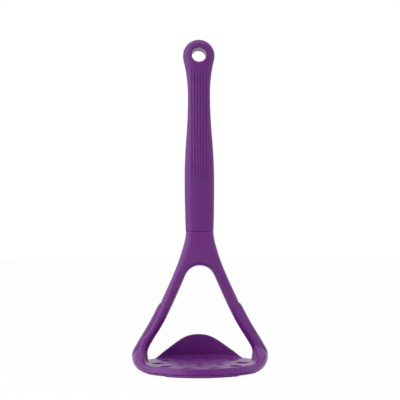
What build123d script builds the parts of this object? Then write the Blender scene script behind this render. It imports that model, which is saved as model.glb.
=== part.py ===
from build123d import *

import math
import os

# Potato masher: a soft grip over a rigid handle core, a forked neck with two legs,
# a round plate full of holes with a scoop wall behind it, and soft strips along its edges.
# Seen from the front, +X is to the right, +Y runs away from the viewer and +Z is up.
# The origin is on the table, under the middle of the plate. All sizes are in millimetres.

# Whole object
overall_length = 250.0
seam_height = 103.4
cut_overrun = 5.0

# Handle, seen from the front
eye_radius = 12.1
eye_bore_radius = 5.5
waist_half_width = 8.4
waist_drop = 29.9
belly_half_width = 11.15
belly_height_share = 0.37
grip_end_half_width = 10.45
eye_height = overall_length - eye_radius
waist_height = eye_height - waist_drop
belly_height = seam_height + (waist_height - seam_height) * belly_height_share

# Handle, seen from the side
waist_half_depth = 7.8
belly_half_depth = 9.6
grip_end_half_depth = 9.0
handle_edge_radius = 5.0

# Grip sleeve
sleeve_wall = 2.4
seam_gap = 0.5
bore_mouth_radius = 1.3
groove_count = 6
groove_pitch = 2.17
groove_width = 1.0
groove_depth = 0.5
groove_top_gap = 4.1
groove_foot_rise = 1.5
groove_bow = 2.0
groove_top_height = eye_height - eye_bore_radius - bore_mouth_radius - groove_top_gap
groove_bottom_height = belly_height + groove_foot_rise

# Tang of the neck, and its socket in the handle core
tang_width = 10.0
tang_depth = 7.0
tang_length = 42.0
tang_corner_radius = 1.5
tang_clearance = 0.1

# Soft lips under the rim, which the masher stands on
lip_drop = 0.7
lip_pad_drop = 0.35
lip_proud = 0.4
lip_width = 3.0
lip_seat = 0.9
lip_half_angle = 33.0
lip_pad_half_angle = 57.0
rim_bottom = lip_drop

# Plate, with a rim that stands a little above it
plate_top = 4.8
plate_thickness = 3.4
rim_base_radius = 46.8
rim_draft = 1.8
rim_rise = 1.4
rim_crest_width = 2.4
rim_foot_width = 6.4
rim_edge_radius = 0.7
rim_crest = plate_top + rim_rise
rim_top_radius = rim_base_radius - rim_draft
rim_inner_radius = rim_top_radius - rim_crest_width
recess_radius = rim_base_radius - rim_foot_width
rim_slope = rim_draft / (rim_crest - rim_bottom)

# Food holes
centre_hole_radius = 4.2
inner_ring_share = 0.511
inner_hole_radius = 3.25
inner_hole_count = 6
outer_ring_inset = 13.5
outer_hole_radius = 4.5
outer_hole_count = 10
outer_ring_radius = rim_top_radius - outer_ring_inset
inner_ring_radius = outer_ring_radius * inner_ring_share

# Forked neck and legs, seen from the front
neck_half_width = 10.35
neck_length = 24.9
leg_overhang = 3.3
leg_foot_width = 10.6
corner_radius = 9.3
leg_bow = 5.2
knee_spread_share = 0.187
knee_height_share = 0.70
shoulder_spread_share = 0.044
shoulder_height_share = 0.878
arch_corner_radius = 7.5
arch_corner_tuck = 13.0
arch_bow = 4.6
arch_knee_height_share = 0.681
leg_knee_width = 9.57
yoke_reach = 16.5
arch_height = seam_height - neck_length
yoke_height = arch_height - yoke_reach
leg_spread = rim_base_radius + leg_overhang
corner_height = rim_bottom + corner_radius
corner_centre_x = leg_spread - corner_radius
arch_half_width = leg_spread - leg_foot_width
arch_corner_height = plate_top + arch_corner_radius

# Forked neck and legs, seen from the side
neck_half_depth = 8.9
leg_half_depth = 5.5
leg_edge_radius = 3.4

# Foot of each leg, where it flares into the rim
foot_rise = 6.3
foot_reach = 19.5
foot_toe = 0.2
foot_inner_radius = 3.2
foot_top = rim_crest + foot_rise

# Scoop wall, on the back of the rim
wall_height = 16.2
wall_thickness = 1.8
wall_lean = 7.0
wall_end_inset = 8.0
wall_width_shares = (0.30, 0.60, 0.835)
wall_height_shares = (0.902, 0.54, 0.19)
wall_end_slope = 0.45
wall_half_span = rim_inner_radius - wall_end_inset

# Soft strips along the outside of the legs
strip_proud = 1.1
strip_seat = 1.0
strip_half_depth = 3.75
strip_top_gap = 11.8
strip_end_drop = 1.2
strip_top_height = yoke_height - strip_top_gap
strip_bottom_height = corner_height - strip_end_drop

# Slabs that cut the front and side outlines
facing_limit = 0.01
slab_half_depth = rim_base_radius + cut_overrun
slab_half_width = leg_spread + cut_overrun


def outline_edges(body):
    """Edges round a body's front and back outlines, without those of its flat ends."""
    walls = body.faces().filter_by(lambda face: abs(face.normal_at().Y) < facing_limit)
    ends = walls.filter_by(Axis.Z) + walls.filter_by(Axis.X)
    return (walls - ends).edges().filter_by(Axis.Y, reverse=True) - ends.edges()


def mirrored(*lines):
    """The same lines again on the other side of the middle."""
    for line in lines:
        mirror(line, about=Plane.YZ)


def halfway(start, end):
    """The point half way between two points."""
    return ((start[0] + end[0]) / 2, (start[1] + end[1]) / 2)


def handle_shape(inset):
    """The handle above the seam, with every outer face moved inward by an inset."""
    radius = eye_radius - inset
    waist = (waist_half_width - inset, waist_height)
    belly = (belly_half_width - inset, belly_height)
    end = (grip_end_half_width - inset, seam_height)
    rise = eye_height - waist_height
    hollow = (waist[0] ** 2 + rise**2 - radius**2) / (2 * (radius - waist[0]))
    leave = math.atan2(rise, waist[0] + hollow)
    waist_side = (waist_half_depth - inset, waist_height)
    belly_side = (belly_half_depth - inset, belly_height)
    end_side = (grip_end_half_depth - inset, seam_height)
    with BuildPart() as body:
        with BuildSketch(Plane.XZ.offset(-slab_half_depth)):
            with BuildLine():
                eye = ThreePointArc(
                    (0, eye_height + radius),
                    (radius, eye_height),
                    (radius * math.cos(leave), eye_height - radius * math.sin(leave)),
                )
                shoulder = TangentArc(eye @ 1, waist, tangent=eye % 1)
                swell = TangentArc(waist, halfway(waist, belly), tangent=shoulder % 1)
                full = TangentArc(swell @ 1, belly, tangent=swell % 1)
                lower = TangentArc(belly, end, tangent=full % 1)
                mirrored(eye, shoulder, swell, full, lower)
                Line(end, (-end[0], end[1]))
            make_face()
        extrude(amount=2 * slab_half_depth)
        with BuildSketch(Plane.YZ.offset(-slab_half_width)):
            with BuildLine():
                top = Line((waist_side[0], overall_length + cut_overrun), waist_side)
                swell = TangentArc(waist_side, halfway(waist_side, belly_side), tangent=top % 1)
                full = TangentArc(swell @ 1, belly_side, tangent=swell % 1)
                lower = TangentArc(belly_side, end_side, tangent=full % 1)
                mirrored(top, swell, full, lower)
                Line(top @ 0, (-waist_side[0], overall_length + cut_overrun))
                Line(end_side, (-end_side[0], seam_height))
            make_face()
        extrude(amount=2 * slab_half_width, mode=Mode.INTERSECT)
        fillet(outline_edges(body.part), radius=handle_edge_radius - inset)
    return body.part


def tang_bar(clearance, length):
    """The upright tang above the seam, grown by a clearance."""
    with BuildPart() as bar:
        with BuildSketch(Plane.XY.offset(seam_height)):
            RectangleRounded(
                tang_width + 2 * clearance,
                tang_depth + 2 * clearance,
                tang_corner_radius + clearance,
            )
        extrude(amount=length)
    return bar.part


def flare_point(spread_share, height_share):
    """A point of the head's outline between the neck and the widest place of the legs."""
    return (
        neck_half_width + (leg_spread - neck_half_width) * spread_share,
        corner_height + (seam_height - corner_height) * height_share,
    )


def head_outline():
    """The head's front outline, from the seam to the rounded lower corners."""
    knee = flare_point(knee_spread_share, knee_height_share)
    shoulder = flare_point(shoulder_spread_share, shoulder_height_share)
    lean = math.atan2(leg_spread - knee[0], knee[1] - corner_height) + math.radians(leg_bow)
    with BuildSketch() as outline:
        with BuildLine():
            corner = ThreePointArc(
                (corner_centre_x, rim_bottom),
                (leg_spread, corner_height),
                (
                    corner_centre_x + corner_radius * math.cos(lean),
                    corner_height + corner_radius * math.sin(lean),
                ),
            )
            leg = TangentArc(corner @ 1, knee, tangent=corner % 1)
            flare = TangentArc(knee, shoulder, tangent=leg % 1)
            neck = TangentArc(shoulder, (neck_half_width, seam_height), tangent=flare % 1)
            mirrored(corner, leg, flare, neck)
            Line(neck @ 1, (-neck_half_width, seam_height))
            Line(corner @ 0, (-corner_centre_x, rim_bottom))
        make_face()
    return outline.sketch_local


def arch_outline(floor):
    """The open triangle between the legs, down to a floor height."""
    middle = arch_half_width - arch_corner_radius
    rise = arch_height - arch_corner_height
    knee_z = arch_corner_height + rise * arch_knee_height_share
    outer_knee = flare_point(knee_spread_share, knee_height_share)
    outer_slope = (leg_spread - outer_knee[0]) / (outer_knee[1] - corner_height)
    outer_x = leg_spread - outer_slope * (knee_z - corner_height)
    knee = (outer_x - leg_knee_width, knee_z)
    lean = math.atan2(arch_half_width - knee[0], knee[1] - arch_corner_height)
    lean = lean + math.radians(arch_bow)
    tuck = math.radians(arch_corner_tuck)
    post_x = middle + arch_corner_radius * math.cos(tuck)
    with BuildSketch() as outline:
        with BuildLine():
            corner = ThreePointArc(
                (post_x, arch_corner_height - arch_corner_radius * math.sin(tuck)),
                (arch_half_width, arch_corner_height),
                (
                    middle + arch_corner_radius * math.cos(lean),
                    arch_corner_height + arch_corner_radius * math.sin(lean),
                ),
            )
            post = Line((post_x, floor), corner @ 0)
            leg = TangentArc(corner @ 1, knee, tangent=corner % 1)
            course = leg % 1
            meet_x = knee[0] + course.X * (arch_height - knee[1]) / course.Y
            turn = (meet_x - course.X * meet_x, arch_height - course.Y * meet_x)
            flank = Line(knee, turn)
            crown = TangentArc(turn, (0, arch_height), tangent=course)
            mirrored(post, corner, leg, flank, crown)
            Line((-post_x, floor), post @ 0)
        make_face()
    return outline.sketch_local


def slab(outline):
    """A front outline as a slab that runs past the whole head."""
    with BuildPart() as body:
        with BuildSketch(Plane.XZ.offset(-slab_half_depth)):
            add(outline)
        extrude(amount=2 * slab_half_depth)
    return body.part


def rim_radius(height):
    """The outer radius of the drafted rim at a height."""
    return rim_base_radius - rim_slope * (height - rim_bottom)


def frame_shape():
    """Neck and both legs in one piece, with rounded edges."""
    leg_top = (leg_half_depth, yoke_height)
    neck_top = (neck_half_depth, seam_height)
    with BuildPart() as body:
        add(head_slab)
        add(leg_gap_slab, mode=Mode.SUBTRACT)
        with BuildSketch(Plane.YZ.offset(-slab_half_width)):
            with BuildLine():
                leg = Line((leg_half_depth, 0), leg_top)
                swell = TangentArc(leg_top, halfway(leg_top, neck_top), tangent=leg % 1)
                neck = TangentArc(swell @ 1, neck_top, tangent=swell % 1)
                mirrored(leg, swell, neck)
                Line(leg @ 0, (-leg_half_depth, 0))
                Line(neck @ 1, (-neck_half_depth, seam_height))
            make_face()
        extrude(amount=2 * slab_half_width, mode=Mode.INTERSECT)
        fillet(outline_edges(body.part), radius=leg_edge_radius)
    return body.part


def foot_shape():
    """The low flare that carries the right leg into the rim."""
    with BuildPart() as hollow:
        with BuildSketch(Plane.XZ):
            Polygon(
                (0, plate_top),
                (rim_inner_radius, plate_top),
                (rim_inner_radius, rim_crest),
                (rim_inner_radius - rim_slope * foot_rise, foot_top),
                (0, foot_top),
                align=None,
            )
        revolve(axis=Axis.Z)
        add(plate_gap_slab, mode=Mode.INTERSECT)
    with BuildPart() as body:
        with BuildSketch(Plane.XZ):
            Polygon(
                (0, rim_bottom),
                (rim_base_radius, rim_bottom),
                (rim_radius(foot_top), foot_top),
                (0, foot_top),
                align=None,
            )
        revolve(axis=Axis.Z)
        add(head_slab, mode=Mode.INTERSECT)
        add(hollow.part, mode=Mode.SUBTRACT)
        with BuildSketch(Plane.YZ.offset(-slab_half_width)):
            with BuildLine():
                flare = Spline(
                    (leg_half_depth, foot_top),
                    (leg_half_depth + foot_reach, rim_crest + foot_toe),
                    tangents=[(0, -1), (1, 0)],
                )
                edge = Line(flare @ 1, (leg_half_depth + foot_reach, 0))
                mirrored(flare, edge)
                Line(flare @ 0, (-leg_half_depth, foot_top))
                Line(edge @ 1, (-leg_half_depth - foot_reach, 0))
            make_face()
        extrude(amount=2 * slab_half_width, mode=Mode.INTERSECT)
        split(bisect_by=Plane.YZ.offset(arch_half_width / 2), keep=Keep.TOP)
    return body.part


def strip_shape():
    """The soft strip along the outside of the right leg."""
    with BuildPart() as body:
        with BuildSketch(Plane.XZ.offset(-strip_half_depth)):
            offset(head_shape, amount=strip_proud)
            offset(head_shape, amount=-strip_seat, mode=Mode.SUBTRACT)
            Polygon(
                (slab_half_width, strip_bottom_height),
                (0, strip_bottom_height),
                (0, strip_top_height),
                (slab_half_width, strip_top_height),
                align=None,
                mode=Mode.INTERSECT,
            )
        extrude(amount=2 * strip_half_depth)
    return body.part


def lip_arc(facing, half_angle, bottom):
    """A bar under the rim that faces a compass angle from +X."""
    inner = rim_base_radius - lip_width
    outer = rim_base_radius + lip_proud
    with BuildPart() as body:
        with BuildSketch(Plane.XZ.rotated((0, 0, facing - half_angle))):
            Polygon(
                (inner, bottom),
                (outer, bottom),
                (outer, rim_bottom + lip_seat),
                (inner, rim_bottom + lip_seat),
                align=None,
            )
        revolve(axis=Axis.Z, revolution_arc=2 * half_angle)
    return body.part


def lip_shape(facing):
    """A soft lip under the rim: a thin pad with a deeper bar in its middle."""
    bar = lip_arc(facing, lip_half_angle, 0)
    pad = lip_arc(facing, lip_pad_half_angle, lip_pad_drop)
    with BuildPart() as body:
        add(pad)
        add(bar)
    return body.part


head_shape = head_outline()
head_slab = slab(head_shape)
leg_gap_slab = slab(arch_outline(0))
with BuildSketch() as plate_gap:
    add(arch_outline(plate_top))
    fillet(plate_gap.vertices().group_by(Axis.Y)[0], radius=foot_inner_radius)
plate_gap_slab = slab(plate_gap.sketch_local)
frame_solid = frame_shape()
foot_solid = foot_shape()
strip_solid = strip_shape()
front_lip_solid = lip_shape(-90)
rear_lip_solid = lip_shape(90)
grip_solid = handle_shape(0)
core_solid = handle_shape(sleeve_wall)
groove_floor = handle_shape(groove_depth)
tang = tang_bar(0, tang_length)
tang_socket = tang_bar(tang_clearance, tang_length + tang_clearance)

with BuildPart() as handle_core:
    add(core_solid)
    with BuildSketch(Plane.XZ.offset(-slab_half_depth)):
        with Locations((0, eye_height)):
            Circle(eye_bore_radius)
    extrude(amount=2 * slab_half_depth, mode=Mode.SUBTRACT)
    add(tang_socket, mode=Mode.SUBTRACT)

with BuildPart() as grooves:
    for index in range(groove_count):
        across = (index - (groove_count - 1) / 2) * groove_pitch
        reach = across / ((groove_count - 1) / 2 * groove_pitch)
        low = groove_bottom_height - groove_bow * reach**2
        with BuildSketch(Plane.XZ.offset(-slab_half_depth)):
            with Locations((across, (groove_top_height + low) / 2)):
                SlotOverall(groove_top_height - low, groove_width, rotation=90)
        extrude(amount=2 * slab_half_depth)
    add(groove_floor, mode=Mode.SUBTRACT)

with BuildPart() as grip_sleeve:
    add(grip_solid)
    with BuildSketch(Plane.XZ.offset(-slab_half_depth)):
        with Locations((0, eye_height)):
            Circle(eye_bore_radius)
    extrude(amount=2 * slab_half_depth, mode=Mode.SUBTRACT)
    mouths = grip_sleeve.edges().filter_by(GeomType.CIRCLE).filter_by(
        lambda edge: math.isclose(edge.arc_center.Z, eye_height)
        and math.isclose(edge.radius, eye_bore_radius)
    )
    fillet(mouths, radius=bore_mouth_radius)
    add(grooves.part, mode=Mode.SUBTRACT)
    add(core_solid, mode=Mode.SUBTRACT)
    split(bisect_by=Plane.XY.offset(seam_height + seam_gap), keep=Keep.TOP)

with BuildPart() as neck_yoke:
    add(frame_solid)
    split(bisect_by=Plane.XY.offset(yoke_height), keep=Keep.TOP)
    add(tang)

with BuildPart() as front_lip:
    add(front_lip_solid)

with BuildPart() as rear_lip:
    add(rear_lip_solid)

with BuildPart() as right_edge_strip:
    add(strip_solid)

with BuildPart() as left_edge_strip:
    mirror(strip_solid, about=Plane.YZ)

with BuildPart() as scoop_wall:
    wall_top = rim_crest + wall_height + cut_overrun
    lean_reach = (wall_top - rim_crest) * math.tan(math.radians(wall_lean))
    half_angle = math.degrees(math.asin(wall_half_span / rim_inner_radius))
    with BuildSketch(Plane.XZ.rotated((0, 0, 90 - half_angle))):
        Polygon(
            (rim_inner_radius, plate_top),
            (rim_radius(plate_top), plate_top),
            (rim_top_radius, rim_crest),
            (rim_inner_radius + lean_reach + wall_thickness, wall_top),
            (rim_inner_radius + lean_reach, wall_top),
            (rim_inner_radius, rim_crest),
            align=None,
        )
    revolve(axis=Axis.Z, revolution_arc=2 * half_angle)
    with BuildSketch(Plane.XZ.offset(-slab_half_depth)):
        with BuildLine():
            rise = [
                (wall_half_span * across, rim_crest + wall_height * up)
                for across, up in zip(wall_width_shares, wall_height_shares)
            ]
            crest = Spline(
                (-wall_half_span, rim_crest),
                *[(-across, up) for across, up in reversed(rise)],
                (0, rim_crest + wall_height),
                *rise,
                (wall_half_span, rim_crest),
                tangents=[(1, wall_end_slope), (1, -wall_end_slope)],
            )
            Polyline(
                crest @ 1,
                (slab_half_width, rim_crest),
                (slab_half_width, 0),
                (-slab_half_width, 0),
                (-slab_half_width, rim_crest),
                crest @ 0,
            )
        make_face()
    extrude(amount=slab_half_depth, mode=Mode.INTERSECT)

with BuildPart() as mashing_plate:
    with BuildSketch(Plane.XZ):
        Polygon(
            (0, plate_top - plate_thickness),
            (recess_radius, plate_top - plate_thickness),
            (recess_radius, rim_bottom),
            (rim_base_radius, rim_bottom),
            (rim_top_radius, rim_crest),
            (rim_inner_radius, rim_crest),
            (rim_inner_radius, plate_top),
            (0, plate_top),
            align=None,
        )
    revolve(axis=Axis.Z)
    crest_edges = mashing_plate.edges().filter_by(GeomType.CIRCLE).group_by(Axis.Z)[-1]
    fillet(crest_edges, radius=rim_edge_radius)
    with Locations((0, 0, plate_top)):
        Hole(centre_hole_radius)
        with PolarLocations(inner_ring_radius, inner_hole_count, start_angle=90):
            Hole(inner_hole_radius)
        with PolarLocations(outer_ring_radius, outer_hole_count):
            Hole(outer_hole_radius)
    add(head_slab, mode=Mode.INTERSECT)
    for neighbour in (front_lip, rear_lip, scoop_wall):
        add(neighbour.part, mode=Mode.SUBTRACT)

with BuildPart() as right_leg:
    add(frame_solid)
    split(bisect_by=Plane.XY.offset(yoke_height), keep=Keep.BOTTOM)
    split(bisect_by=Plane.YZ, keep=Keep.TOP)
    add(foot_solid)
    with BuildSketch():
        Circle(recess_radius)
    extrude(amount=plate_top, mode=Mode.SUBTRACT)
    for neighbour in (mashing_plate, scoop_wall, front_lip, rear_lip, right_edge_strip):
        add(neighbour.part, mode=Mode.SUBTRACT)

with BuildPart() as left_leg:
    mirror(right_leg.part, about=Plane.YZ)

pieces = {
    "grip_sleeve": grip_sleeve,
    "handle_core": handle_core,
    "neck_yoke": neck_yoke,
    "left_leg": left_leg,
    "right_leg": right_leg,
    "mashing_plate": mashing_plate,
    "scoop_wall": scoop_wall,
    "left_edge_strip": left_edge_strip,
    "right_edge_strip": right_edge_strip,
    "front_lip": front_lip,
    "rear_lip": rear_lip,
}

os.makedirs("parts", exist_ok=True)
for name, piece in pieces.items():
    piece.part.label = name
    export_step(piece.part, f"parts/{name}.step")
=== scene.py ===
import math

import bmesh
import bpy
import numpy as np
from mathutils import Matrix, Vector


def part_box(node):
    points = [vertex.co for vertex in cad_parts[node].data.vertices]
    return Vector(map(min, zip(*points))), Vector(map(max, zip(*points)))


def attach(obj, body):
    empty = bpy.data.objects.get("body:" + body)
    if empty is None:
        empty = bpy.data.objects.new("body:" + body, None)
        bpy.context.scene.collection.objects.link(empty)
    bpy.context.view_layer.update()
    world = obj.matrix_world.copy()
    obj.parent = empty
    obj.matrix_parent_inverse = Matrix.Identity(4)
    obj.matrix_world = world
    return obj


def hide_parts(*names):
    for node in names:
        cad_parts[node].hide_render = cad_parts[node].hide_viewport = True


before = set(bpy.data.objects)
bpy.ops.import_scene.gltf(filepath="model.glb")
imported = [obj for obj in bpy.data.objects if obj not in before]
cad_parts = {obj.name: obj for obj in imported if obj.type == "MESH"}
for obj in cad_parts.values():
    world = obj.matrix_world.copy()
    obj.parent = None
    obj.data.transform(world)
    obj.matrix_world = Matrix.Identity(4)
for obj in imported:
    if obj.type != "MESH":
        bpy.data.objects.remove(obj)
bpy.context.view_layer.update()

MM = 0.001
QUARTER_TURN = 0.5 * math.pi

# Remeshing and smoothing
WELD = 1e-6
GRIP_VOXEL = 0.35 * MM
HEAD_VOXEL = 0.45 * MM
TRIM_VOXEL = 0.3 * MM
FAIR = (0.5, -0.52) * 3
SOFT = (0.5,) * 6
GROOVE_FILL = (0.5,) * 12
FOOT_SOFT = (0.5,) * 40
LEG_SOFT = (0.5,) * 60
FACES_KEPT = 0.4
LEVEL = 1.0 * MM
LEAST = 1.0 * MM
FAR = 1.0

# Plastic, with a slow mottle and a fine mould grain
REFRACTION = 1.49
MOTTLE_SCALE = 55.0
MOTTLE_DETAIL = 3.0
MOTTLE_LOW = 0.3
MOTTLE_HIGH = 0.7
GLOSS_SPREAD = 0.04
GRAIN_DETAIL = 4.0
GRAIN_DEPTH = 0.2 * MM

# Grip
HANDLE_HALF_WIDTH = 10.5 * MM
GRIP_CROWN = 0.22
GROOVE_GAIN = 0.6
GROOVES_FROM_Y = (3.0 * MM, 6.0 * MM)
GROOVES_TO_X = (7.0 * MM, 8.5 * MM)
GROOVES_TO_Z = (222.0 * MM, 228.0 * MM)
SEAM_CLOSING = 0.7
SEAM_REACH = 4.0 * MM

# Rim, and how far its crest sinks at the back
RIM_RADIUS = 46.8 * MM
RIM_INNER = 42.6 * MM
RIM_CREST = 6.2 * MM
RIM_FOOT = 1.2 * MM
RIM_EASE = 0.4 * MM
RIM_SLOPE = 0.33
RIM_RISE = 1.4 * MM
BACK_SINK = 1.1 * MM
BACK_FROM_Y = (6.0 * MM, 18.0 * MM)
SINK_TO_Z = (RIM_CREST + 0.2 * MM, RIM_CREST + 4.0 * MM)

# Swell that carries each foot round into the rim
SWELL_ROWS = 49
SWELL_LEVELS = 12
SWELL_REACH = math.radians(42.0)
FLARE_END = 25.0 * MM
FLARE_RISE = 20.0 * MM
FLARE_LEAST = 3.0 * MM
FLARE_INWARD = 1.2 * MM
CORNER_X = 40.2 * MM
CORNER_HEIGHT = 10.0 * MM
CORNER_RADIUS = 11.0 * MM
LEG_SLOPE = 9.8
LEG_BEND = 1.5

# Feet and legs: where smoothing, filling and crowning begin and end
LEG_HALF_DEPTH = 5.0 * MM
LEG_SLIM = LEG_HALF_DEPTH + MM
FEET_FROM_X = (31.0 * MM, 37.0 * MM)
FEET_TO_Z = (20.0 * MM, 34.0 * MM)
FEET_TO_Y = (28.0 * MM, 36.0 * MM)
FEET_FROM_Z = (2.0 * MM, 4.5 * MM)
LEGS_FROM_Z = (12.0 * MM, 18.0 * MM)
LEGS_TO_Z = (92.0 * MM, 101.0 * MM)
LEGS_TO_Y = (12.0 * MM, 18.0 * MM)
LEG_FULLNESS = 0.5 * MM
FULL_FROM_Z = (16.0 * MM, 40.0 * MM)
FULL_TO_Z = (90.0 * MM, 102.0 * MM)
LEG_CROWN = 0.32
CROWN_FROM_Z = (12.0 * MM, 22.0 * MM)
CROWN_TO_Z = (50.0 * MM, 66.0 * MM)
CROWN_TO_Y = 12.0 * MM
NECK_CROWN = 0.24
NECK_FROM_Z = (50.0 * MM, 78.0 * MM)
KNEE = 21.0 * MM
KNEE_SPAN = 11.0 * MM
KNEE_FADE = 1.6
KNEE_FROM_X = (25.0 * MM, 33.0 * MM)
KNEE_SHIFT = 0.5 * MM

# Strips on the legs
STRIP_CROWN = 1.9 * MM
STRIP_SINK = 0.7 * MM
STRIP_FADE = 2.5 * MM

# Scoop wall, turned inwards above the crest
WALL_START = 20.0 * MM
WALL_TURN = math.tan(math.radians(10.0))

# Surround, with a darker patch high in front
WHITE = (1.0, 1.0, 1.0, 1.0)
SKY_SEEN = 1.0
SKY_LIGHT = 0.48
DARK_SIDE = Vector((0.0, -1.0, 0.46)).normalized()
DARK_EDGE = math.cos(math.radians(32.0))
DARK_CORE = math.cos(math.radians(12.0))
DARK_LEVEL = 0.65

# White paper floor
FLOOR_HALF_WIDTH = 6.0
FLOOR_FRONT = -3.0
FLOOR_BACK = 12.0
FLOOR_DROP = 0.2 * MM
PAPER_COLOR = (0.90, 0.90, 0.90, 1.0)
PAPER_SEEN = 0.96
PAPER_LIGHT = 0.0

# Camera
FOCAL_LENGTH = 79.5
SENSOR_WIDTH = 36.0
CLIP_START = 0.01
CLIP_END = 50.0
CAMERA_DISTANCE = 0.670
CAMERA_HEIGHT = 0.089
CAMERA_ASIDE = 0.45 * MM
CAMERA_TURN = math.radians(-2.0)
CAMERA_PITCH = math.radians(90.0 + 3.29)
CAMERA_ROLL = math.radians(-0.27)


def plastic(name, base, roughness, grain_scale, grain_bump, mottle):
    """A moulded plastic: fine mould grain, slow mottling of the colour and uneven gloss."""
    made = bpy.data.materials.new(name)
    made.use_nodes = True
    tree = made.node_tree
    tree.nodes.clear()
    out = tree.nodes.new("ShaderNodeOutputMaterial")
    shader = tree.nodes.new("ShaderNodeBsdfPrincipled")
    shader.inputs["IOR"].default_value = REFRACTION
    tree.links.new(shader.outputs["BSDF"], out.inputs["Surface"])

    place = tree.nodes.new("ShaderNodeTexCoord")

    slow = tree.nodes.new("ShaderNodeTexNoise")
    slow.inputs["Scale"].default_value = MOTTLE_SCALE
    slow.inputs["Detail"].default_value = MOTTLE_DETAIL
    tree.links.new(place.outputs["Object"], slow.inputs["Vector"])

    ramp = tree.nodes.new("ShaderNodeValToRGB")
    low = [channel * (1.0 - mottle) for channel in base]
    high = [channel * (1.0 + mottle) for channel in base]
    ramp.color_ramp.elements[0].position = MOTTLE_LOW
    ramp.color_ramp.elements[0].color = (*low, 1.0)
    ramp.color_ramp.elements[1].position = MOTTLE_HIGH
    ramp.color_ramp.elements[1].color = (*high, 1.0)
    tree.links.new(slow.outputs["Fac"], ramp.inputs["Fac"])
    tree.links.new(ramp.outputs["Color"], shader.inputs["Base Color"])

    gloss = tree.nodes.new("ShaderNodeMapRange")
    gloss.inputs["To Min"].default_value = roughness - GLOSS_SPREAD
    gloss.inputs["To Max"].default_value = roughness + GLOSS_SPREAD
    tree.links.new(slow.outputs["Fac"], gloss.inputs["Value"])
    tree.links.new(gloss.outputs["Result"], shader.inputs["Roughness"])

    grain = tree.nodes.new("ShaderNodeTexNoise")
    grain.inputs["Scale"].default_value = grain_scale
    grain.inputs["Detail"].default_value = GRAIN_DETAIL
    tree.links.new(place.outputs["Object"], grain.inputs["Vector"])
    bump = tree.nodes.new("ShaderNodeBump")
    bump.inputs["Strength"].default_value = grain_bump
    bump.inputs["Distance"].default_value = GRAIN_DEPTH
    tree.links.new(grain.outputs["Fac"], bump.inputs["Height"])
    tree.links.new(bump.outputs["Normal"], shader.inputs["Normal"])
    return made


def copy_of(name, nodes, extra=()):
    """A new object that holds the meshes of CAD nodes, and any extra closed meshes, joined."""
    joined = bmesh.new()
    for source in [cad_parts[node].data for node in nodes] + list(extra):
        joined.from_mesh(source)
    bmesh.ops.remove_doubles(joined, verts=joined.verts, dist=WELD)
    mesh = bpy.data.meshes.new(name)
    joined.to_mesh(mesh)
    joined.free()
    piece = bpy.data.objects.new(name, mesh)
    bpy.context.scene.collection.objects.link(piece)
    return piece


def with_modifier(piece, kind, **settings):
    """Runs one modifier over a piece and keeps its result as the piece's mesh."""
    step = piece.modifiers.new(kind, kind)
    for setting, value in settings.items():
        setattr(step, setting, value)
    seen = piece.evaluated_get(bpy.context.evaluated_depsgraph_get())
    mesh = bpy.data.meshes.new_from_object(seen)
    piece.modifiers.clear()
    old = piece.data
    piece.data = mesh
    mesh.name = piece.name
    bpy.data.meshes.remove(old)


def points_of(mesh):
    """The points of a mesh as rows of x, y, z."""
    points = np.empty(len(mesh.vertices) * 3)
    mesh.vertices.foreach_get("co", points)
    return points.reshape(-1, 3)


def relax(mesh, steps, share=None):
    """Moves each point towards the middle of its neighbours, by each step's factor in turn."""
    points = points_of(mesh)
    pairs = np.empty(len(mesh.edges) * 2, dtype=np.int64)
    mesh.edges.foreach_get("vertices", pairs)
    ends = np.concatenate([pairs[0::2], pairs[1::2]])
    others = np.concatenate([pairs[1::2], pairs[0::2]])
    count = np.maximum(np.bincount(ends, minlength=len(points)), 1)
    weight = 1.0 if share is None else share[:, None]
    for factor in steps:
        middle = np.stack(
            [
                np.bincount(ends, weights=points[others, axis], minlength=len(points)) / count
                for axis in range(3)
            ],
            axis=1,
        )
        points += factor * weight * (middle - points)
    mesh.vertices.foreach_set("co", points.ravel())
    mesh.update()


def ease(low, high, value):
    """Rises smoothly from 0 at low to 1 at high."""
    t = np.clip((value - low) / (high - low), 0.0, 1.0)
    return t * t * (3.0 - 2.0 * t)


def dress(piece, look, slot, *nodes):
    """Shades a piece smooth, gives it its material, hangs it under the root body and hides its CAD
    nodes.
    """
    piece.data.materials.clear()
    piece.data.materials.append(look)
    piece.data.shade_smooth()
    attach(piece, "root")
    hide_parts(*nodes)


def make_grip():
    """The soft grip: crowned front and back, fine grooves, and an eased lower edge at the seam."""
    grip = copy_of("grip", ["grip_sleeve"])
    with_modifier(grip, "REMESH", mode="VOXEL", voxel_size=GRIP_VOXEL)
    relax(grip.data, FAIR)
    points = points_of(grip.data)
    relax(grip.data, GROOVE_FILL)
    crisp = ease(*GROOVES_FROM_Y, np.abs(points[:, 1]))
    crisp *= 1.0 - ease(*GROOVES_TO_X, np.abs(points[:, 0]))
    crisp *= 1.0 - ease(*GROOVES_TO_Z, points[:, 2])
    points += GROOVE_GAIN * crisp[:, None] * (points - points_of(grip.data))
    across = points[:, 0] / HANDLE_HALF_WIDTH
    points[:, 1] *= 1.0 - GRIP_CROWN * across**2
    seam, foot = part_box("handle_core")[0][2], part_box("grip_sleeve")[0][2]
    closing = np.clip((foot + SEAM_REACH - points[:, 2]) / SEAM_REACH, 0.0, 1.0)
    points[:, 2] -= SEAM_CLOSING * (foot - seam) * closing
    grip.data.vertices.foreach_set("co", points.ravel())
    with_modifier(grip, "DECIMATE", ratio=FACES_KEPT)
    dress(grip, soft_grip, "soft_grip", "grip_sleeve")


def corner_edge(z):
    """How far from the middle the head's lower corner reaches at a height."""
    below = max(CORNER_HEIGHT - z, 0.0)
    above = max(z - CORNER_HEIGHT, 0.0)
    return CORNER_X + math.sqrt(CORNER_RADIUS**2 - below**2) - LEG_SLOPE * above**LEG_BEND


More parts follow.
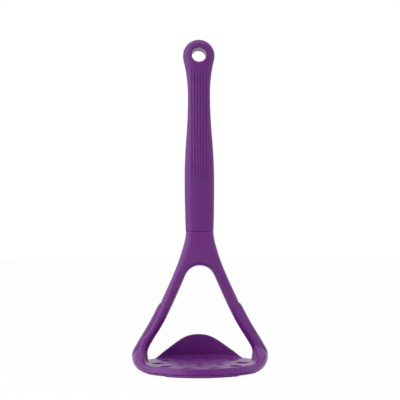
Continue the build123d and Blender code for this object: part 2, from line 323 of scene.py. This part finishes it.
def swell_profile(turn):
    """The radius and height of each point of the swell's section, at a turn from the leg."""
    out = math.cos(QUARTER_TURN * turn / SWELL_REACH) ** 2
    aside = RIM_RADIUS * abs(math.sin(turn))
    fall = min(max((aside - LEG_HALF_DEPTH) / (FLARE_END - LEG_HALF_DEPTH), 0.0), 1.0)
    top = RIM_CREST - RIM_EASE + FLARE_RISE * (1.0 - math.sqrt(1.0 - (1.0 - fall) ** 2))
    inner = RIM_INNER + RIM_EASE - FLARE_INWARD * (1.0 - fall) ** 2
    profile = [(RIM_INNER + RIM_EASE, RIM_FOOT)]
    for level in range(SWELL_LEVELS):
        z = RIM_FOOT + (top - RIM_FOOT) * level / (SWELL_LEVELS - 1)
        rim = RIM_RADIUS - RIM_SLOPE * min(z, RIM_CREST)
        edge = max(corner_edge(z), inner + FLARE_LEAST)
        profile.append((rim + out * (edge - rim), z))
    profile.append((inner, top))
    return profile


def rim_swell(side):
    """The band that carries a leg's foot round into the rim, as one closed ring sector."""
    verts, faces = [], []
    for row in range(SWELL_ROWS):
        turn = SWELL_REACH * (2.0 * row / (SWELL_ROWS - 1) - 1.0)
        for radius, z in swell_profile(turn):
            verts.append((side * radius * math.cos(turn), radius * math.sin(turn), z))
    size = SWELL_LEVELS + 2
    for row in range(SWELL_ROWS - 1):
        for spot in range(size):
            a, b = row * size + spot, row * size + (spot + 1) % size
            faces.append((a, b, b + size, a + size))
    faces.append(tuple(range(size)))
    faces.append(tuple(range((SWELL_ROWS - 1) * size, SWELL_ROWS * size)))
    mesh = bpy.data.meshes.new("rim_swell")
    mesh.from_pydata(verts, [], faces)
    work = bmesh.new()
    work.from_mesh(mesh)
    bmesh.ops.recalc_face_normals(work, faces=work.faces)
    work.to_mesh(mesh)
    work.free()
    return mesh


def soften_feet_and_legs(mesh):
    """Blends the feet into the rim, and smooths the legs along their length."""
    points = points_of(mesh)
    feet = ease(*FEET_FROM_X, np.abs(points[:, 0]))
    feet *= 1.0 - ease(*FEET_TO_Z, points[:, 2])
    feet *= 1.0 - ease(*FEET_TO_Y, np.abs(points[:, 1]))
    feet *= ease(*FEET_FROM_Z, points[:, 2])
    legs = ease(*LEGS_FROM_Z, points[:, 2])
    legs *= 1.0 - ease(*LEGS_TO_Z, points[:, 2])
    legs *= 1.0 - ease(*LEGS_TO_Y, np.abs(points[:, 1]))
    relax(mesh, FOOT_SOFT, np.maximum(feet, legs))
    relax(mesh, LEG_SOFT, legs)


def fuller_legs(mesh):
    """The points of the head with its legs filled out again along their normals."""
    points = points_of(mesh)
    normals = np.empty(len(points) * 3)
    mesh.vertices.foreach_get("normal", normals)
    fuller = ease(*FULL_FROM_Z, points[:, 2])
    fuller *= 1.0 - ease(*FULL_TO_Z, points[:, 2])
    points += LEG_FULLNESS * fuller[:, None] * normals.reshape(-1, 3)
    return points


def knee_shift(points):
    """Moves the lower legs a little outwards, by the bow the photographed legs have."""
    z = points[:, 2]
    bow = ease(KNEE - KNEE_SPAN, KNEE, z) * (1.0 - ease(KNEE, KNEE + KNEE_FADE * KNEE_SPAN, z))
    away = ease(*KNEE_FROM_X, np.abs(points[:, 0])) * np.sign(points[:, 0])
    points[:, 0] += KNEE_SHIFT * bow * away


def outline(points):
    """How far the head reaches outwards, and how near the middle it comes, at each point's height."""
    levels = np.arange(0.0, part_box("neck_yoke")[1][2], LEVEL)
    spot = np.clip((points[:, 2] / LEVEL).astype(int), 0, len(levels) - 1)
    outer = np.full(len(levels), LEAST)
    np.maximum.at(outer, spot, np.abs(points[:, 0]))
    inner = np.full(len(levels), FAR)
    slim = np.abs(points[:, 1]) < LEG_SLIM
    np.minimum.at(inner, spot[slim], np.abs(points[slim, 0]))
    middle = levels + 0.5 * LEVEL
    return np.interp(points[:, 2], middle, outer), np.interp(points[:, 2], middle, inner)


def crown_legs_and_neck(points):
    """Rounds the legs and the neck, so that they are thinner from front to back at their edges."""
    outer, inner = outline(points)
    across = (2.0 * np.abs(points[:, 0]) - outer - inner) / np.maximum(outer - inner, LEAST)
    crown = LEG_CROWN * ease(*CROWN_FROM_Z, points[:, 2])
    crown *= 1.0 - ease(*CROWN_TO_Z, points[:, 2])
    crown *= np.abs(points[:, 1]) < CROWN_TO_Y
    points[:, 1] *= 1.0 - crown * np.clip(across, -1.0, 1.0) ** 2
    across = points[:, 0] / outer
    crown = NECK_CROWN * ease(*NECK_FROM_Z, points[:, 2])
    points[:, 1] *= 1.0 - crown * across**2


def shape_back(points):
    """Sinks the crest of the rim towards the back, and turns the scoop wall inwards."""
    sink = ease(RIM_CREST - RIM_RISE, RIM_CREST, points[:, 2])
    sink *= 1.0 - ease(*SINK_TO_Z, points[:, 2])
    points[:, 2] -= BACK_SINK * sink * ease(*BACK_FROM_Y, points[:, 1])
    rise = np.maximum(points[:, 2] - RIM_CREST, 0.0) * (points[:, 1] > WALL_START)
    reach = np.maximum(np.hypot(points[:, 0], points[:, 1]), LEAST)
    points[:, :2] *= (1.0 - WALL_TURN * rise / reach)[:, None]


def make_head():
    """The hard moulding: forked neck, legs, pierced plate with its rim, and scoop wall."""
    nodes = ["neck_yoke", "left_leg", "right_leg", "mashing_plate", "scoop_wall"]
    swells = [rim_swell(-1), rim_swell(1)]
    head = copy_of("head_moulding", nodes, swells)
    for mesh in swells:
        bpy.data.meshes.remove(mesh)
    with_modifier(head, "REMESH", mode="VOXEL", voxel_size=HEAD_VOXEL)
    relax(head.data, FAIR)
    soften_feet_and_legs(head.data)
    points = fuller_legs(head.data)
    knee_shift(points)
    crown_legs_and_neck(points)
    shape_back(points)
    head.data.vertices.foreach_set("co", points.ravel())
    with_modifier(head, "DECIMATE", ratio=FACES_KEPT)
    dress(head, head_plastic, "head_plastic", *nodes)


def make_strip(name, node):
    """A soft strip down a leg: its outer face is crowned, so that it hugs the rounded leg."""
    strip = copy_of(name, [node])
    with_modifier(strip, "REMESH", mode="VOXEL", voxel_size=TRIM_VOXEL)
    relax(strip.data, SOFT)
    points = points_of(strip.data)
    low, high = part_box(node)
    across = points[:, 1] / (0.5 * (high[1] - low[1]))
    ends = 1.0 - ease(low[2], low[2] + STRIP_FADE, points[:, 2])
    ends += ease(high[2] - STRIP_FADE, high[2], points[:, 2])
    points[:, 0] -= np.sign(points[:, 0]) * (STRIP_CROWN * across**2 + STRIP_SINK * ends)
    knee_shift(points)
    strip.data.vertices.foreach_set("co", points.ravel())
    strip.data.update()
    dress(strip, soft_edge, "soft_edge", node)


def make_lip(name, node):
    """A soft lip under the rim with eased edges."""
    lip = copy_of(name, [node])
    with_modifier(lip, "REMESH", mode="VOXEL", voxel_size=TRIM_VOXEL)
    relax(lip.data, SOFT)
    dress(lip, soft_edge, "soft_edge", node)


def combined(tree, operation, first, second):
    """The result of a math node over two sockets."""
    node = tree.nodes.new("ShaderNodeMath")
    node.operation = operation
    tree.links.new(first, node.inputs[0])
    tree.links.new(second, node.inputs[1])
    return node.outputs[0]


def white_for_camera(tree, level, lit):
    """A value that is level for camera, glossy and transmission rays, and lit for all others."""
    path = tree.nodes.new("ShaderNodeLightPath")
    seen = combined(tree, "MAXIMUM", path.outputs["Is Camera Ray"], path.outputs["Is Glossy Ray"])
    seen = combined(tree, "MAXIMUM", seen, path.outputs["Is Transmission Ray"])
    ranged = tree.nodes.new("ShaderNodeMapRange")
    ranged.inputs["To Min"].default_value = lit
    ranged.inputs["To Max"].default_value = level
    tree.links.new(seen, ranged.inputs["Value"])
    return ranged.outputs["Result"]


def make_world():
    """A white surround that is darker high in front, for every ray but the camera's."""
    world = bpy.data.worlds.new("studio")
    bpy.context.scene.world = world
    world.use_nodes = True
    tree = world.node_tree
    tree.nodes.clear()
    out = tree.nodes.new("ShaderNodeOutputWorld")
    sky = tree.nodes.new("ShaderNodeBackground")
    sky.inputs["Color"].default_value = WHITE
    aim = tree.nodes.new("ShaderNodeTexCoord")
    facing = tree.nodes.new("ShaderNodeVectorMath")
    facing.operation = "DOT_PRODUCT"
    facing.inputs[1].default_value = DARK_SIDE
    tree.links.new(aim.outputs["Generated"], facing.inputs[0])
    shade = tree.nodes.new("ShaderNodeMapRange")
    shade.interpolation_type = "SMOOTHSTEP"
    shade.inputs["From Min"].default_value = DARK_EDGE
    shade.inputs["From Max"].default_value = DARK_CORE
    shade.inputs["To Min"].default_value = 1.0
    shade.inputs["To Max"].default_value = DARK_LEVEL
    tree.links.new(facing.outputs["Value"], shade.inputs["Value"])
    path = tree.nodes.new("ShaderNodeLightPath")
    kept = combined(tree, "MAXIMUM", path.outputs["Is Camera Ray"], shade.outputs["Result"])
    level = combined(tree, "MULTIPLY", white_for_camera(tree, SKY_SEEN, SKY_LIGHT), kept)
    tree.links.new(level, sky.inputs["Strength"])
    tree.links.new(sky.outputs["Background"], out.inputs["Surface"])


def make_floor():
    """White paper that looks almost as white as the surround, and lights nothing itself."""
    left, right = -FLOOR_HALF_WIDTH, FLOOR_HALF_WIDTH
    corners = [
        (left, FLOOR_FRONT, 0.0),
        (right, FLOOR_FRONT, 0.0),
        (right, FLOOR_BACK, 0.0),
        (left, FLOOR_BACK, 0.0),
    ]
    mesh = bpy.data.meshes.new("floor")
    mesh.from_pydata(corners, [], [(0, 1, 2, 3)])
    floor = bpy.data.objects.new("floor", mesh)
    floor.location.z = -FLOOR_DROP
    bpy.context.scene.collection.objects.link(floor)
    paper = bpy.data.materials.new("paper")
    paper.use_nodes = True
    tree = paper.node_tree
    tree.nodes.clear()
    out = tree.nodes.new("ShaderNodeOutputMaterial")
    matt = tree.nodes.new("ShaderNodeBsdfDiffuse")
    matt.inputs["Color"].default_value = PAPER_COLOR
    glow = tree.nodes.new("ShaderNodeEmission")
    glow.inputs["Color"].default_value = WHITE
    blend = tree.nodes.new("ShaderNodeMixShader")
    tree.links.new(white_for_camera(tree, PAPER_SEEN, PAPER_LIGHT), blend.inputs["Fac"])
    tree.links.new(matt.outputs["BSDF"], blend.inputs[1])
    tree.links.new(glow.outputs["Emission"], blend.inputs[2])
    tree.links.new(blend.outputs["Shader"], out.inputs["Surface"])
    mesh.materials.append(paper)


def soft_box(name, spot, aim, width, height, power):
    """A rectangular lamp at a spot that faces an aim point."""
    lamp = bpy.data.lights.new(name, "AREA")
    lamp.shape = "RECTANGLE"
    lamp.size = width
    lamp.size_y = height
    lamp.energy = power
    made = bpy.data.objects.new(name, lamp)
    made.location = spot
    made.rotation_mode = "QUATERNION"
    made.rotation_quaternion = (Vector(aim) - Vector(spot)).to_track_quat("-Z", "Y")
    bpy.context.scene.collection.objects.link(made)


def make_camera():
    """A long lens in front of the head, turned and tilted a little like the photograph's."""
    lens = bpy.data.cameras.new("lens")
    lens.lens = FOCAL_LENGTH
    lens.sensor_width = SENSOR_WIDTH
    lens.clip_start = CLIP_START
    lens.clip_end = CLIP_END
    camera = bpy.data.objects.new("lens", lens)
    camera.location = (
        CAMERA_DISTANCE * math.sin(CAMERA_TURN) + CAMERA_ASIDE * math.cos(CAMERA_TURN),
        -CAMERA_DISTANCE * math.cos(CAMERA_TURN) + CAMERA_ASIDE * math.sin(CAMERA_TURN),
        CAMERA_HEIGHT,
    )
    turn = Matrix.Rotation(CAMERA_TURN, 4, "Z")
    pitch = Matrix.Rotation(CAMERA_PITCH, 4, "X")
    roll = Matrix.Rotation(CAMERA_ROLL, 4, "Z")
    camera.rotation_mode = "QUATERNION"
    camera.rotation_quaternion = (turn @ pitch @ roll).to_quaternion()
    bpy.context.scene.collection.objects.link(camera)
    bpy.context.scene.camera = camera


# Materials
head_plastic = plastic(
    "head_plastic",
    base=(0.150, 0.0042, 0.210),
    roughness=0.34,
    grain_scale=1400.0,
    grain_bump=0.05,
    mottle=0.04,
)
soft_grip = plastic(
    "soft_grip",
    base=(0.134, 0.0052, 0.194),
    roughness=0.48,
    grain_scale=2600.0,
    grain_bump=0.18,
    mottle=0.05,
)
soft_edge = plastic(
    "soft_edge",
    base=(0.140, 0.0042, 0.198),
    roughness=0.40,
    grain_scale=2600.0,
    grain_bump=0.12,
    mottle=0.05,
)

# Pieces
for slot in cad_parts["handle_core"].material_slots:
    slot.material = head_plastic
make_grip()
make_head()
make_strip("left_strip", "left_edge_strip")
make_strip("right_strip", "right_edge_strip")
make_lip("front_foot_lip", "front_lip")
make_lip("rear_foot_lip", "rear_lip")

# Surround, floor, lamps and camera
make_world()
make_floor()
soft_box("side_left", spot=(-1.10, -0.35, 0.45), aim=(0.0, 0.0, 0.12), width=1.6, height=1.6, power=10.0)
soft_box("side_right", spot=(1.15, -0.30, 0.15), aim=(0.0, 0.0, 0.05), width=1.0, height=0.8, power=0.5)
soft_box("overhead", spot=(0.0, -0.25, 1.30), aim=(0.0, 0.0, 0.0), width=1.4, height=1.2, power=6.0)
make_camera()
bpy.context.scene.view_settings.view_transform = "Standard"

bpy.context.view_layer.update()
